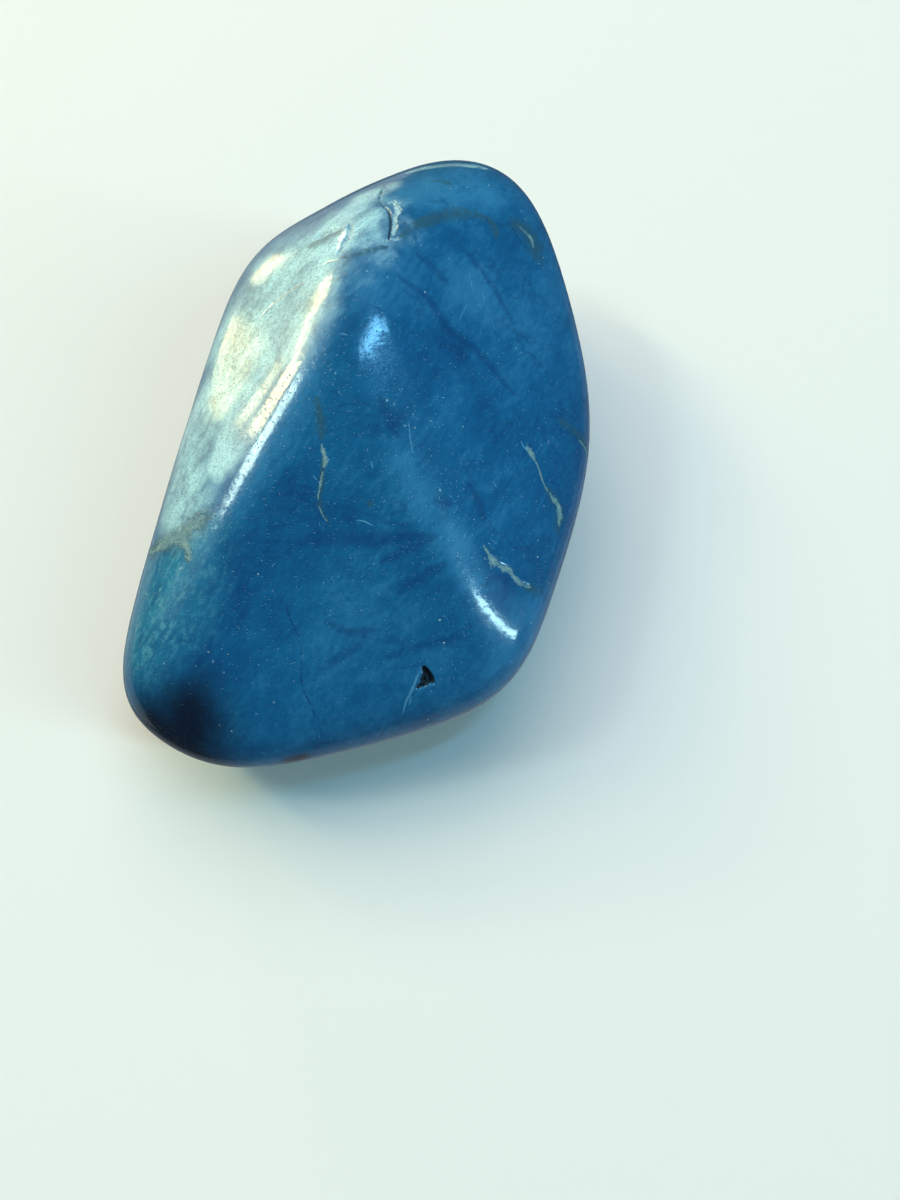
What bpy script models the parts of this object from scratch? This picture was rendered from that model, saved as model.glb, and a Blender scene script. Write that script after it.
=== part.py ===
"""One tumbled pebble of dyed howlite, in metres, with +Z up and its long way along Y.

The pebble is a rounded polyhedron. Each worn face is a plane, given by the way it looks and
how far it lies from the heart of the stone, and neighbouring planes blend into blunt ridges.
A flat patch is worn under it, an open pit is sunk low on its front face, and an old crack
runs over its far end with a chip broken out of one side.
"""

import math

import bmesh
import bpy
from mathutils import Vector

MM = 0.001

# Worn faces: bearing anticlockwise from +X and rise above level, both in degrees,
# and distance from the heart of the stone in millimetres.
WORN_FACES = {
    "long_flank": (210, 60, 9.1),
    "long_shoulder": (198, 50, 11.3),
    "far_shoulder": (153, 50, 14.1),
    "front_face": (-61, 66, 7),
    "right_face": (9, 57, 7.7),
    "far_crown": (82, 70, 13),
    "long_brow": (194, 13, 13),
    "near_left_brow": (-116, 39, 19.4),
    "near_brow": (-55, 28, 15.9),
    "right_brow": (2, 28, 13.6),
    "far_brow": (87, 32, 24.7),
    "long_wall": (189, -7, 14.3),
    "far_left_wall": (141, 2, 20.4),
    "far_wall": (95, -8, 27.4),
    "far_right_wall": (46, -5, 17.8),
    "right_wall": (32, -19, 16),
    "right_near_wall": (5, -17, 14.5),
    "near_wall": (-44, -9, 18.8),
    "near_left_wall": (-104, -1, 23.5),
    "base": (0, -90, 9.7),
    "under_long": (196, -48, 14.9),
    "under_far": (98, -42, 22),
    "under_right": (18, -50, 13.8),
    "under_near": (-56, -44, 17.6),
    "under_near_left": (-118, -38, 21.8),
}

# The higher the number, the crisper the ridges between the worn faces.
RIDGE_CRISPNESS = 11

# Shallow swells and hollows: bearing, rise and spread in degrees, height in millimetres.
SWELLS = {
    "swell_on_the_flank": (-150, 22, 16, 0.20),
    "hollow_on_the_front": (-78, 28, 18, -0.22),
    "swell_by_the_near_corner": (-40, 20, 13, 0.18),
    "hollow_under_the_crown": (40, 34, 16, -0.20),
    "swell_on_the_crown": (88, 30, 12, 0.16),
    "hollow_beneath": (-10, -42, 16, -0.25),
    "swell_beneath": (70, -38, 20, 0.20),
}

# Depth of stone worn away under the lowest point to leave the patch that it rests on.
REST_PATCH_DEPTH = 0.3 * MM
ICOSPHERE_STEPS = 5

# Crack over the far end, and the chip beside it: points as bearing and rise in degrees.
CRACK_ROUTE = [(111, 13), (111.5, 20.5), (111.5, 26), (110.5, 31), (107.5, 35), (106, 39), (105, 43.5)]
CRACK_HALF_WIDTH = 0.30 * MM
CRACK_DEPTH = 0.55 * MM
CHIP_ROUTE = [(105, 29.5), (105.5, 32.5), (105.5, 35.5), (106, 38.5)]
CHIP_HALF_WIDTH = 0.28 * MM
CHIP_DEPTH = 0.35 * MM

# The open pit: its mouth as bearing and rise in degrees, and its depth at the deepest point.
PIT_MOUTH = [(-52.5, 3.3), (-50.4, 0.6), (-53, 0.8), (-55.5, 0.2), (-53.6, 1.8)]
PIT_DEPTH = 0.9 * MM

# How far each cutter stands out of the surface, so that it cuts cleanly through it.
CUTTER_STAND = 0.25 * MM

BLUE = (0.018, 0.115, 0.270, 1.0)
POLISH_ROUGHNESS = 0.16


def facing(bearing, rise):
    """Unit vector that looks along a bearing and a rise, both in degrees."""
    level = math.cos(math.radians(rise))
    turn = math.radians(bearing)
    return Vector((math.cos(turn) * level, math.sin(turn) * level, math.sin(math.radians(rise))))


PLANES = [(facing(bearing, rise), distance * MM) for bearing, rise, distance in WORN_FACES.values()]
BUMPS = [
    (facing(bearing, rise), math.radians(spread), height * MM)
    for bearing, rise, spread, height in SWELLS.values()
]


def swell(direction):
    """Height that the swells and hollows add in one direction from the heart."""
    return sum(height * math.exp(-((direction.angle(middle) / spread) ** 2)) for middle, spread, height in BUMPS)


def reach(direction):
    """Distance from the heart of the stone to its surface in one direction."""
    nearness = [max(0.0, direction.dot(normal)) / distance for normal, distance in PLANES]
    nearest = max(nearness)
    blend = sum((value / nearest) ** RIDGE_CRISPNESS for value in nearness) ** (1 / RIDGE_CRISPNESS)
    return 1 / (nearest * blend) + swell(direction)


def on_surface(direction):
    """Point of the surface in one direction from the heart, and the surface's normal there."""
    step = 0.01
    side = direction.orthogonal().normalized()
    other = direction.cross(side)
    point = direction * reach(direction)
    along = [(direction + way * step).normalized() for way in (side, other)]
    edges = [way * reach(way) - point for way in along]
    return point, edges[0].cross(edges[1]).normalized()


def worn_pebble():
    """Bmesh of the pebble about its heart, closed, with the flat patch under it as one face."""
    mesh = bmesh.new()
    bmesh.ops.create_icosphere(mesh, subdivisions=ICOSPHERE_STEPS, radius=1)
    for vertex in mesh.verts:
        vertex.co = vertex.co.normalized() * reach(vertex.co.normalized())
    floor = min(vertex.co.z for vertex in mesh.verts) + REST_PATCH_DEPTH
    worn = set()
    for vertex in mesh.verts:
        if vertex.co.z <= floor:
            vertex.co.z = floor
            worn.add(vertex)
    patch = [face for face in mesh.faces if all(vertex in worn for vertex in face.verts)]
    bmesh.ops.dissolve_faces(mesh, faces=patch, use_verts=True)
    return mesh


def groove_cutter(route, half_width, depth):
    """Bmesh of a V-shaped wedge sunk along a route, pointed at both of its ends."""
    places = [on_surface(facing(bearing, rise)) for bearing, rise in route]
    mesh = bmesh.new()
    rings = []
    for index, (point, normal) in enumerate(places):
        outer = mesh.verts.new(point + normal * CUTTER_STAND)
        if index in (0, len(places) - 1):
            rings.append((outer,))
            continue
        ahead = places[index + 1][0] - places[index - 1][0]
        side = normal.cross(ahead).normalized()
        outer.co += side * half_width
        opposite = mesh.verts.new(point + normal * CUTTER_STAND - side * half_width)
        keel = mesh.verts.new(point - normal * depth)
        rings.append((outer, opposite, keel))
    for first, second in zip(rings, rings[1:]):
        if len(first) == len(second):
            for here, there in zip(range(3), (1, 2, 0)):
                mesh.faces.new((first[here], second[here], second[there], first[there]))
        else:
            tip, ring = (first[0], second) if len(first) == 1 else (second[0], first)
            for here, there in zip(range(3), (1, 2, 0)):
                mesh.faces.new((tip, ring[here], ring[there]))
    return mesh


def pit_cutter():
    """Bmesh of the many-sided point that leaves the open pit."""
    mesh = bmesh.new()
    places = [on_surface(facing(bearing, rise)) for bearing, rise in PIT_MOUTH]
    mouth = [mesh.verts.new(point + normal * CUTTER_STAND) for point, normal in places]
    middle = sum((point for point, _ in places), Vector()) / len(places)
    inward = on_surface(middle.normalized())[1] * -PIT_DEPTH
    deepest = mesh.verts.new(middle + inward)
    mesh.faces.new(mouth)
    for here, there in zip(mouth, mouth[1:] + mouth[:1]):
        mesh.faces.new((here, there, deepest))
    return mesh


def as_object(name, mesh, place):
    """Turn a bmesh into an object at a place, its faces pointing out."""
    bmesh.ops.recalc_face_normals(mesh, faces=mesh.faces)
    data = bpy.data.meshes.new(name)
    mesh.to_mesh(data)
    mesh.free()
    thing = bpy.data.objects.new(name, data)
    thing.location = place
    bpy.context.collection.objects.link(thing)
    return thing


def cut(stone, name, mesh):
    """Take a cutter's shape out of the stone with a Boolean modifier."""
    cutter = as_object(name, mesh, stone.location)
    cutter.hide_render = True
    cutter.display_type = "WIRE"
    boolean = stone.modifiers.new(name, "BOOLEAN")
    boolean.operation = "DIFFERENCE"
    boolean.solver = "EXACT"
    boolean.object = cutter


def dyed_howlite():
    """Material of the pebble: blue all through its skin, with a tumbled polish."""
    material = bpy.data.materials.new("dyed_howlite")
    material.use_nodes = True
    shader = material.node_tree.nodes["Principled BSDF"]
    shader.inputs["Base Color"].default_value = BLUE
    shader.inputs["Roughness"].default_value = POLISH_ROUGHNESS
    shader.inputs["Metallic"].default_value = 0.0
    return material


def main():
    """Build the pebble, standing on its flat patch with the middle of its box at the origin."""
    for thing in list(bpy.data.objects):
        bpy.data.objects.remove(thing)
    pebble = worn_pebble()
    low = Vector([min(vertex.co[axis] for vertex in pebble.verts) for axis in range(3)])
    high = Vector([max(vertex.co[axis] for vertex in pebble.verts) for axis in range(3)])
    heart = Vector((-(low.x + high.x) / 2, -(low.y + high.y) / 2, -low.z))
    stone = as_object("stone", pebble, heart)
    stone.data.materials.append(dyed_howlite())
    stone.data.shade_smooth()
    cut(stone, "crack_cutter", groove_cutter(CRACK_ROUTE, CRACK_HALF_WIDTH, CRACK_DEPTH))
    cut(stone, "chip_cutter", groove_cutter(CHIP_ROUTE, CHIP_HALF_WIDTH, CHIP_DEPTH))
    cut(stone, "pit_cutter", pit_cutter())


main()
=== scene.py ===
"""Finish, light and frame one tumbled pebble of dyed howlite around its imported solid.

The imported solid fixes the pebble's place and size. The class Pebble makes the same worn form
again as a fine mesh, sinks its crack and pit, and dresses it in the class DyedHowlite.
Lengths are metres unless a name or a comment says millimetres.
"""

import logging
import math
from dataclasses import dataclass, field
from enum import Enum
from typing import Any, Iterable, Sequence

import bmesh
import bpy
import numpy as np
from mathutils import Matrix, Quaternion, Vector
from mathutils.bvhtree import BVHTree


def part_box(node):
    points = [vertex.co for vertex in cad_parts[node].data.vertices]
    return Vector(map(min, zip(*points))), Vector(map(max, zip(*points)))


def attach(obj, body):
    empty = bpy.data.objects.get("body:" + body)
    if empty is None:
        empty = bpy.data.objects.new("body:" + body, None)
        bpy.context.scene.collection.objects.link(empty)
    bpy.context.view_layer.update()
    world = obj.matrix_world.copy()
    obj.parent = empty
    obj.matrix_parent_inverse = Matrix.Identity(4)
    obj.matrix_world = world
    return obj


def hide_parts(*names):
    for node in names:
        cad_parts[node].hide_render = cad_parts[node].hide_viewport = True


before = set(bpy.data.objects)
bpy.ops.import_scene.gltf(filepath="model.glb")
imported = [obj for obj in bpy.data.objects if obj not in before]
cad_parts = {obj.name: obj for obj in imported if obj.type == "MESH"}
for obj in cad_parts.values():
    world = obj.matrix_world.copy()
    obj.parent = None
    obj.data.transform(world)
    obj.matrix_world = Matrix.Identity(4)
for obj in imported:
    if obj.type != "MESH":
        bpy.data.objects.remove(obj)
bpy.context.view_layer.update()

LOG = logging.getLogger("pebble")
MM = 0.001
Pixel = tuple[float, float]
Bearing = tuple[float, float]
Colour = tuple[float, float, float]
Values = dict[str | int, Any]
Routes = dict[str, np.ndarray]


class Mark(Enum):
    """Kinds of mark on the pebble, among them painted shade and painted sheen, each with a vertex attribute
    that holds how near it is.
    """

    CRACK = "near_crack"
    LIP = "near_lip"
    PIT = "near_pit"
    CHALK = "near_chalk"
    RUST = "near_rust"
    STREAK = "near_streak"
    FISSURE = "near_fissure"
    SCRATCH = "near_scratch"
    SPECK = "near_speck"
    # Painted shade on the front.
    PAINTED_SHADE = "near_painted_shade"
    # Painted sheen.
    PAINTED_SHEEN = "near_painted_sheen"
    # Greener dye, partly painted reflection.
    TEAL_AND_SHEEN = "near_teal_and_sheen"
    # Milky worn dye, partly painted reflection.
    BLEACH_AND_SHEEN = "near_bleach_and_sheen"
    # Painted shade round the low nose.
    PAINTED_NOSE_SHADE = "near_painted_nose_shade"


SOFT_MARKS = (Mark.STREAK, Mark.RUST, Mark.PAINTED_SHADE, Mark.PAINTED_SHEEN, Mark.TEAL_AND_SHEEN, Mark.BLEACH_AND_SHEEN, Mark.PAINTED_NOSE_SHADE)


@dataclass(frozen=True)
class WornFace:
    """One flat side worn on the pebble.

    Args:
        bearing: way that the side looks, in degrees anticlockwise from +X.
        rise: how far it looks up, in degrees above level.
        distance: how far its plane lies from the heart of the stone, in millimetres.
    """

    bearing: float
    rise: float
    distance: float


@dataclass(frozen=True)
class Swell:
    """A shallow swell, or a hollow where the height is negative.

    Args:
        bearing: bearing of its middle from the heart, in degrees.
        rise: rise of its middle from the heart, in degrees.
        spread: angle at which it fades, in degrees.
        height: height of its middle, in millimetres.
    """

    bearing: float
    rise: float
    spread: float
    height: float


@dataclass(frozen=True)
class SeenLine:
    """A mark seen from the viewpoint, drawn along pixels of the 900 by 1200 picture.

    Args:
        mark: kind of mark.
        half_width: half of its width at its widest, in millimetres.
        taper: share of the half width that is left at its two ends.
        pixels: its route over the stone, as pixels.
    """

    mark: Mark
    half_width: float
    taper: float
    pixels: Sequence[Pixel]


def lines_of(mark: Mark, rows: dict[str, tuple[float, float, list[Pixel]]]) -> dict[str, SeenLine]:
    """Marks of one kind that the viewpoint shows, each from its half width, taper and pixels."""
    return {name: SeenLine(mark, *row) for name, row in rows.items()}


@dataclass(frozen=True)
class HiddenLine:
    """A mark on a side that the viewpoint doesn't show, drawn by directions from the heart.

    Args:
        mark: kind of mark.
        half_width: half of its width at its widest, in millimetres.
        taper: share of the half width that is left at its two ends.
        bearings: its route, as bearing and rise in degrees.
    """

    mark: Mark
    half_width: float
    taper: float
    bearings: Sequence[Bearing]


@dataclass(frozen=True)
class Panel:
    """One soft light panel that looks at the pebble.

    Args:
        bearing: where its middle hangs, in degrees anticlockwise from +X.
        rise: how high its middle hangs, in degrees above level. Below level, it shows only in the polish.
        wide: how wide it looks from the pebble, in degrees.
        high: how high it looks from the pebble, in degrees.
        glow: brightness of its face, in watts per square metre and steradian.
        colour: colour of its light.
        lean: turn about its own middle, in degrees.
        mirrored: whether the polish mirrors it, or it only lights the stone softly.
    """

    bearing: float
    rise: float
    wide: float
    high: float
    glow: float
    colour: Colour
    lean: float = 0.0
    mirrored: bool = True


def facing(bearing: float, rise: float) -> np.ndarray:
    """Unit vector that looks along a bearing and a rise.

    Args:
        bearing: degrees anticlockwise from +X.
        rise: degrees above level.

    Returns:
        The unit vector.
    """
    turn, lift = math.radians(bearing), math.radians(rise)
    return np.array([math.cos(turn) * math.cos(lift), math.sin(turn) * math.cos(lift), math.sin(lift)])


def smooth_step(value: np.ndarray, low: float, high: float) -> np.ndarray:
    """Ease from 0 at low to 1 at high.

    Args:
        value: values to ease.
        low: where the step begins.
        high: where the step ends.

    Returns:
        The eased values.
    """
    share = np.clip((value - low) / (high - low), 0.0, 1.0)
    return share * share * (3.0 - 2.0 * share)


def ripple(points: np.ndarray, length: float, seed: int) -> np.ndarray:
    """Smooth, seeded, wandering field made of crossed waves.

    Args:
        points: positions in millimetres, one row each.
        length: typical wave length in millimetres.
        seed: seed of the waves' directions and phases.

    Returns:
        One value for each point, mostly between -1 and 1.
    """
    chance = np.random.default_rng(seed)
    total = np.zeros(len(points))
    wave_count = 14
    for _ in range(wave_count):
        way = chance.normal(size=3)
        way /= np.linalg.norm(way)
        pitch = length * chance.uniform(0.7, 1.6)
        total += np.sin(points @ way * (2.0 * math.pi / pitch) + chance.uniform(0.0, 2.0 * math.pi))
    return total / math.sqrt(wave_count)


@dataclass
class Viewpoint:
    """The camera, placed as the picture was taken.

    Args:
        azimuth: degrees round the stone, where 0 looks along +Y.
        elevation: degrees above the horizon.
        distance: from the lens to the target, in metres.
        target: point of the surface under the stone that the lens looks at.
        focal_px: focal length in pixels of the picture.
        width_px: width of the picture in pixels.
        height_px: height of the picture in pixels.
    """

    azimuth: float = 24.0
    elevation: float = 68.0
    distance: float = 66.9 * MM
    target: tuple[float, float, float] = (7.43 * MM, -4.78 * MM, 0.0)
    focal_px: float = 901.0
    width_px: int = 900
    height_px: int = 1200
    back: Vector = field(init=False)
    right: Vector = field(init=False)
    up: Vector = field(init=False)
    eye: Vector = field(init=False)

    def __post_init__(self) -> None:
        """Work out the camera's axes and its place."""
        self.back = Vector(facing(self.azimuth - 90.0, self.elevation))
        self.right = Vector((0.0, 0.0, 1.0)).cross(self.back).normalized()
        self.up = self.back.cross(self.right)
        self.eye = Vector(self.target) + self.back * self.distance

    def ray(self, pixel: Pixel) -> Vector:
        """Direction in which one pixel of the picture looks.

        Args:
            pixel: pixel of the 900 by 1200 picture.

        Returns:
            Unit vector away from the lens.
        """
        across = (pixel[0] - self.width_px / 2) / self.focal_px
        down = (pixel[1] - self.height_px / 2) / self.focal_px
        return (self.right * across - self.up * down - self.back).normalized()

    def build(self) -> bpy.types.Object:
        """Make the camera and hand it to the scene.

        Returns:
            The camera object.
        """
        data = bpy.data.cameras.new("viewpoint")
        data.sensor_width = 36.0
        data.lens = self.focal_px * data.sensor_width / self.height_px
        data.clip_start = 1.0 * MM
        data.clip_end = 10.0
        camera = bpy.data.objects.new("viewpoint", data)
        camera.location = self.eye
        camera.rotation_euler = self.back.to_track_quat("Z", "Y").to_euler()
        bpy.context.scene.collection.objects.link(camera)
        bpy.context.scene.camera = camera
        return camera


class Wire:
    """A value, vector or colour between shader nodes, with arithmetic that adds the nodes."""

    def __init__(self, net: "Net", socket: bpy.types.NodeSocket) -> None:
        """Keep the node net and the output socket that this wire comes from."""
        self.net = net
        self.socket = socket

    def __add__(self, other: "Wire | float") -> "Wire":
        """Sum of two values."""
        return self.net.maths("ADD", self, other)

    def __radd__(self, other: float) -> "Wire":
        """Sum with a number on the left."""
        return self.net.maths("ADD", other, self)

    def __sub__(self, other: "Wire | float") -> "Wire":
        """Difference of two values."""
        return self.net.maths("SUBTRACT", self, other)

    def __rsub__(self, other: float) -> "Wire":
        """Difference from a number on the left."""
        return self.net.maths("SUBTRACT", other, self)

    def __mul__(self, other: "Wire | float") -> "Wire":
        """Product of two values."""
        return self.net.maths("MULTIPLY", self, other)

    def __rmul__(self, other: float) -> "Wire":
        """Product with a number on the left."""
        return self.net.maths("MULTIPLY", other, self)

    def __abs__(self) -> "Wire":
        """The value without its sign."""
        return self.net.maths("ABSOLUTE", self, 0.0)

    def at_most(self, other: "Wire | float") -> "Wire":
        """The lesser of two values."""
        return self.net.maths("MINIMUM", self, other)

    def at_least(self, other: "Wire | float") -> "Wire":
        """The greater of two values."""
        return self.net.maths("MAXIMUM", self, other)

    def ease(self, low: float, high: float) -> "Wire":
        """Ease from 0 at low to 1 at high, or down from 1 where low is the greater.

        Args:
            low: value that gives 0.
            high: value that gives 1.

        Returns:
            The eased value, held between 0 and 1.
        """
        settings = {"interpolation_type": "SMOOTHSTEP"}
        if low <= high:
            ends = {"From Min": low, "From Max": high, "To Min": 0.0, "To Max": 1.0}
        else:
            ends = {"From Min": high, "From Max": low, "To Min": 1.0, "To Max": 0.0}
        return self.net.node("ShaderNodeMapRange", settings, {"Value": self, **ends}, "Result")


class Net:
    """The node net of one material."""

    def __init__(self, name: str) -> None:
        """Start a material of that name with a bare Principled shader."""
        self.material = bpy.data.materials.new(name)
        self.material.use_nodes = True
        self.tree = self.material.node_tree
        self.shader = self.tree.nodes["Principled BSDF"]

    def node(self, kind: str, settings: dict[str, Any], values: Values, out: str | int = 0) -> Wire:
        """Add one node.

        Args:
            kind: type of the node.
            settings: properties of the node, set before its sockets; "ramp" holds a ramp's stops.
            values: value or wire of each socket, by name or by place.
            out: name or place of the output that is wanted.

        Returns:
            Wire from that output.
        """
        added = self.tree.nodes.new(kind)
        for name, value in settings.items():
            if name == "ramp":
                self._set_ramp(added.color_ramp, value)
            else:
                setattr(added, name, value)
        for name, value in values.items():
            self.feed(added.inputs[name], value)
        return Wire(self, added.outputs[out])

    @staticmethod
    def _set_ramp(ramp: bpy.types.ColorRamp, stops: Sequence[tuple[float, Colour]]) -> None:
        """Give a ramp its stops, each a place and a colour."""
        while len(ramp.elements) < len(stops):
            ramp.elements.new(1.0)
        for element, (place, colour) in zip(ramp.elements, stops):
            element.position = place
            element.color = (*colour, 1.0)

    def feed(self, socket: bpy.types.NodeSocket, value: Any) -> None:
        """Link a wire to a socket, or set the socket's own value.

        Args:
            socket: input socket.
            value: wire, number, colour or vector.
        """
        if isinstance(value, Wire):
            self.tree.links.new(value.socket, socket)
        elif socket.type == "RGBA" and len(value) == 3:
            socket.default_value = (*value, 1.0)
        else:
            socket.default_value = value

    def maths(self, operation: str, first: Wire | float, second: Wire | float) -> Wire:
        """Add a Math node and return its wire."""
        return self.node("ShaderNodeMath", {"operation": operation}, {0: first, 1: second})

    def near(self, mark: Mark) -> Wire:
        """Distance to the nearest mark of a kind, where 1 is the mark's edge."""
        return self.node("ShaderNodeAttribute", {"attribute_name": mark.value}, {}, "Fac")

    def place(self, stretch: tuple[float, float, float] = (1.0, 1.0, 1.0), turn: float = 0.0) -> Wire:
        """Position on the object in millimetres, along axes turned about the upright one.

        Args:
            stretch: how far features are drawn out along each of the turned axes.
            turn: turn of the axes in degrees.

        Returns:
            Wire of the position.
        """
        spot = self.node("ShaderNodeTexCoord", {}, {}, "Object")
        scale = tuple(share * MM for share in stretch)
        values = {"Vector": spot, "Rotation": (0.0, 0.0, math.radians(turn)), "Scale": scale}
        return self.node("ShaderNodeMapping", {"vector_type": "TEXTURE"}, values)

    def cloud(
        self, where: Wire, scale: float, detail: float = 3.0, rough: float = 0.55, bend: float = 0.0
    ) -> Wire:
        """Noise between 0 and 1.

        Args:
            where: position in millimetres.
            scale: number of blobs in a millimetre.
            detail: octaves of finer noise.
            rough: share of each finer octave.
            bend: distortion of the noise.

        Returns:
            Wire of the noise.
        """
        values = {"Vector": where, "Scale": scale, "Detail": detail, "Roughness": rough, "Distortion": bend}
        return self.node("ShaderNodeTexNoise", {"noise_dimensions": "3D"}, values, "Fac")

    def scatter(self, where: Wire, scale: float) -> Wire:
        """Distance to the nearest of many scattered points, about that many to a millimetre."""
        settings = {"voronoi_dimensions": "3D", "feature": "F1"}
        values = {"Vector": where, "Scale": scale, "Randomness": 1.0}
        return self.node("ShaderNodeTexVoronoi", settings, values, "Distance")

    def mix(self, share: Wire | float, first: Wire | Colour, second: Wire | Colour) -> Wire:
        """Blend of two colours, where the share is that of the second."""
        settings = {"data_type": "RGBA", "blend_type": "MIX", "clamp_factor": True}
        return self.node("ShaderNodeMix", settings, {0: share, 6: first, 7: second}, 2)

    def bump(self, height: Wire, depth: float, strength: float = 1.0, under: Wire | None = None) -> Wire:
        """Bump from a height field.

        Args:
            height: height between 0 and 1.
            depth: depth in metres that a height of 1 stands for.
            strength: strength of the bump.
            under: normal of an earlier bump.

        Returns:
            Wire of the bent normal.
        """
        values: Values = {"Height": height, "Distance": depth, "Strength": strength}
        if under is not None:
            values["Normal"] = under
        return self.node("ShaderNodeBump", {}, values, "Normal")


@dataclass(frozen=True)
class DyedHowlite:
    """Finish of the pebble: blue dye of uneven depth under a tumbled polish, with its marks, its painted
    shade and its painted sheen.

    Args:
        night: dye in the dark wisps.
        deep: darker dye.
        full: usual colour of the dye.
        pale: dye where the stone took less of it.
        bleached_and_sheen: pale, milky colour of the long flank, partly worn dye and partly painted
            reflection of the window.
        teal_and_sheen: greener colour of the low end of the flank, partly dye and partly painted reflection
            of the window.
        mist: pale flecks in the greener dye.
        painted_shade_black: darkest colour, a painted shade round the low nose.
        vein: chalky vein, stained by the dye.
        core: brightest part of a vein.
        rust: grey-brown stain beside the veins.
        lip: bare howlite on the torn lip of the crack.
        scratch: pale blue of a scratch in the polish.
        painted_recess_shade: dark painted shade in the crack and the pit.
        haze_roughness: roughness of the soft haze over the polish.
    """

    night: Colour = (0.001, 0.034, 0.120)
    deep: Colour = (0.001, 0.052, 0.150)
    full: Colour = (0.003, 0.093, 0.212)
    pale: Colour = (0.022, 0.158, 0.305)
    bleached_and_sheen: Colour = (0.440, 0.740, 0.770)
    teal_and_sheen: Colour = (0.020, 0.170, 0.270)
    mist: Colour = (0.110, 0.330, 0.380)
    painted_shade_black: Colour = (0.001, 0.004, 0.014)
    vein: Colour = (0.090, 0.200, 0.225)
    core: Colour = (0.260, 0.360, 0.310)
    rust: Colour = (0.022, 0.078, 0.105)
    lip: Colour = (0.380, 0.540, 0.560)
    scratch: Colour = (0.080, 0.260, 0.420)
    painted_recess_shade: Colour = (0.003, 0.016, 0.030)
    haze_roughness: float = 0.40

    def dye(self, net: Net) -> Wire:
        """Uneven blue of the dye, with painted shade, painted sheen and a partly painted reflection on the
        flank.

        Args:
            net: node net of the material.

        Returns:
            Wire of the colour.
        """
        where = net.place()
        drift = net.cloud(where, 0.10, 2.0, 0.5, 0.4)
        patch = net.cloud(net.place((1.0, 1.8, 1.0), -8.0), 0.55, 5.0, 0.62, 0.4)
        grain = net.cloud(net.place((1.0, 3.5, 1.0), -8.0), 3.6, 4.0, 0.65)
        fray = net.cloud(where, 0.5, 4.0, 0.6) - 0.5
        # Painted shade: the dye is made deeper on the lower left of the front and in a patch on the right.
        shade = (net.near(Mark.PAINTED_SHADE) + fray * 0.7).ease(1.3, 0.0)
        # Painted sheen: the dye is made paler where the polish would show a soft glow of the lights.
        haze = (net.near(Mark.PAINTED_SHEEN) + fray * 0.8).ease(1.3, 0.0)
        depth = drift * 0.36 + patch * 0.36 + grain * 0.28 + haze * 0.12 - shade * 0.08
        blue = net.node(
            "ShaderNodeValToRGB",
            {"ramp": ((0.35, self.deep), (0.50, self.full), (0.66, self.pale))},
            {"Fac": depth},
            "Color",
        )
        # Partly painted reflection: the greener low end of the flank stands for the window's sheen as well as
        # for dye.
        teal_and_sheen = (net.near(Mark.TEAL_AND_SHEEN) + fray * 0.8).ease(1.3, 0.0)
        blue = net.mix(teal_and_sheen * (0.4 + patch.ease(0.35, 0.60) * 0.55), blue, self.teal_and_sheen)
        blue = net.mix(teal_and_sheen * grain.ease(0.48, 0.64) * 0.48, blue, self.mist)
        # Partly painted reflection: the flank's pale milky colour stands for the window's haze in the polish
        # as well as for worn dye.
        bleach_and_sheen_share = (net.near(Mark.BLEACH_AND_SHEEN) + fray * 0.9 + (0.5 - patch) * 1.2).ease(1.5, 0.2)
        milk = 0.32 + grain.ease(0.34, 0.62) * 0.24 + patch.ease(0.36, 0.60) * 0.42
        blue = net.mix(bleach_and_sheen_share * milk, blue, self.bleached_and_sheen)
        wander = net.cloud(net.place((1.0, 4.0, 1.0), -70.0), 0.40, 3.0, 0.5)
        wisp = abs(wander - 0.5).ease(0.030, 0.0) * net.cloud(where, 0.3, 2.0).ease(0.48, 0.62)
        blue = net.mix(wisp * 0.35, blue, self.night)
        # Painted shade: the low nose is darkened almost fully, as if it faced away from the light.
        nose = (net.near(Mark.PAINTED_NOSE_SHADE) + fray * 0.4).ease(1.3, 0.1)
        return net.mix(nose * 0.95, blue, self.painted_shade_black)

    def build(self) -> bpy.types.Material:
        """Make the material.

        Returns:
            The material.
        """
        net = Net("dyed_howlite")
        where = net.place()
        fray = net.cloud(where, 2.2, 4.0, 0.65) - 0.5
        fine = net.cloud(where, 7.0, 3.0, 0.6) - 0.5

        streak = (net.near(Mark.STREAK) + fray * 1.2).ease(1.3, 0.0)
        chalk_edge = net.near(Mark.CHALK) + fray * 3.0 + fine * 1.8
        chalk = chalk_edge.ease(1.3, 0.5)
        core = chalk_edge.ease(0.75, 0.2) * fine.ease(-0.06, 0.08)
        rust = (net.near(Mark.RUST) + fray * 2.6 + fine * 1.2).ease(1.25, 0.0)
        fissure = (net.near(Mark.FISSURE) + fine * 1.4).ease(1.0, 0.3) * fray.ease(-0.12, 0.06)
        scratch = (net.near(Mark.SCRATCH) + fine * 1.3).ease(1.0, 0.4)
        speck = (net.near(Mark.SPECK) + fine * 0.8).ease(1.0, 0.6)
        lip = (net.near(Mark.LIP) + fray * 2.0 + fine * 2.2).ease(1.15, 0.5)
        crack = (net.near(Mark.CRACK) + fine * 0.8).ease(1.0, 0.4)
        pit = net.near(Mark.PIT).ease(1.0, 0.8)

        pricked = (net.scatter(where, 4.2) + fine * 0.2).ease(0.26, 0.12)
        grit = net.scatter(where, 1.5)
        milky = net.near(Mark.BLEACH_AND_SHEEN).ease(1.9, 0.3)
        crumbs = (fine + 0.5).ease(0.53, 0.60) * (0.10 + milky * 0.90)
        dust = (grit + fine * 0.30).ease(0.11, 0.05) * net.cloud(where, 0.35, 2.0).ease(0.55, 0.62)

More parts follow.
